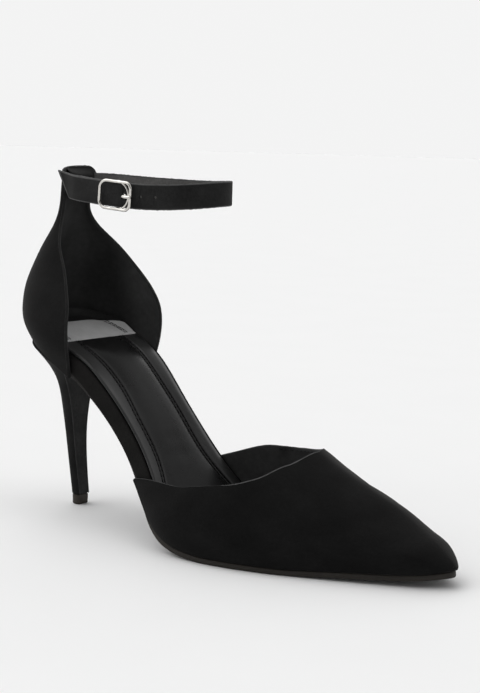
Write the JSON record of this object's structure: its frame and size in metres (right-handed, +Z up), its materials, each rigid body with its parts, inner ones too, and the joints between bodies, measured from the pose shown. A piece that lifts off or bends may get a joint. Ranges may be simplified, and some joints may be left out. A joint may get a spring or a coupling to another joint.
{
  "type": "stiletto heel",
  "caption": "Right-foot stiletto heel with a pointed hollow vamp, an open waist, a heel cup that rises to a tab, and a buckled ankle strap.",
  "frame": {"origin": "centre of the heel tip's floor face", "axes": "+X to the toe, +Y to the inner side of the foot, +Z up from the floor"},
  "size_m": [0.2317, 0.0833, 0.1626],
  "materials": {
    "suede": "matt black suede nap",
    "strap": "matt black suede, smooth grey back",
    "footbed": "smooth satin black leather",
    "outsole": "matt dark grey",
    "tip": "hard black",
    "buckle": "polished silver"
  },
  "bodies": {
    "root": {"outsole": "outsole", "insole_board": "suede", "insole": "footbed", "vamp": "suede", "counter": "suede", "heel": "suede", "heel_tip": "tip", "ankle_strap": "strap", "buckle_frame": "buckle", "buckle_pin": "buckle"}
  },
  "joints": []
}
